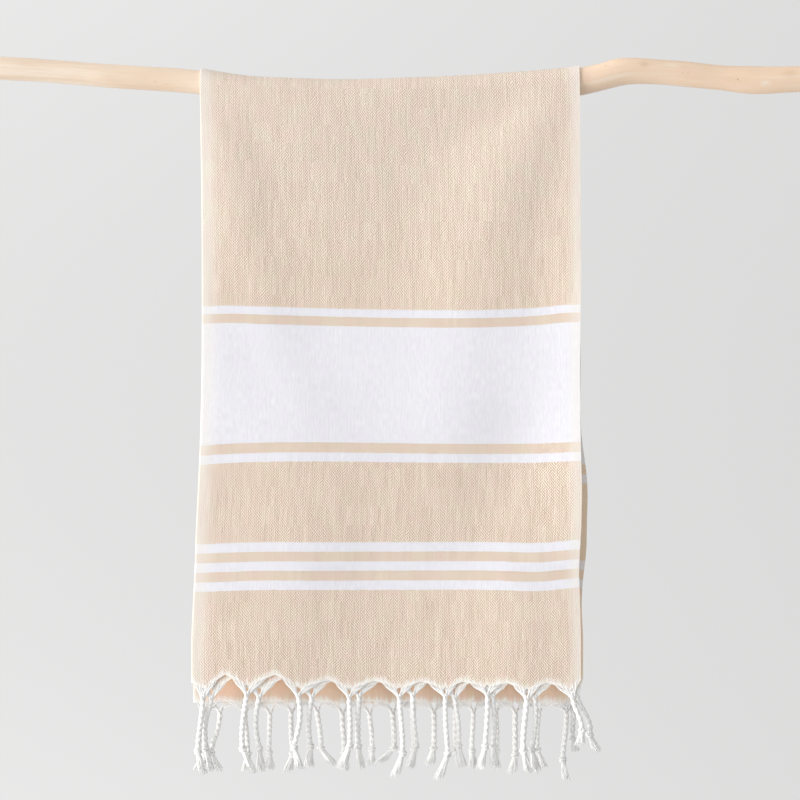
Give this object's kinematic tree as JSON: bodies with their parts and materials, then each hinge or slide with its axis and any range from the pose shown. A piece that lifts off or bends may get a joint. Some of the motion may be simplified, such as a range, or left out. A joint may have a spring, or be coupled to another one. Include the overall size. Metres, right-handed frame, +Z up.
{
  "type": "hammam towel hung over a wooden branch",
  "caption": "Flat-woven beige and white towel, folded lengthwise and hung over a debarked branch, with twisted and knotted fringe at both hems.",
  "frame": {"origin": "centre of the branch's sawn left end", "axes": "+X along the branch to the viewer's right, +Y away from the viewer, +Z up"},
  "size_m": [1.25, 0.0697, 0.9635],
  "materials": {
    "branch_wood": "debarked, dry and unvarnished, smooth from handling",
    "beige_cloth": "flat-woven cotton, beige weft over white warp, with white bands",
    "white_yarn": "matt white cotton yarn, twisted and knotted by hand"
  },
  "bodies": {
    "root": {"branch": "branch_wood", "towel": "beige_cloth", "fringe_front": "white_yarn", "fringe_back": "white_yarn"}
  },
  "joints": []
}
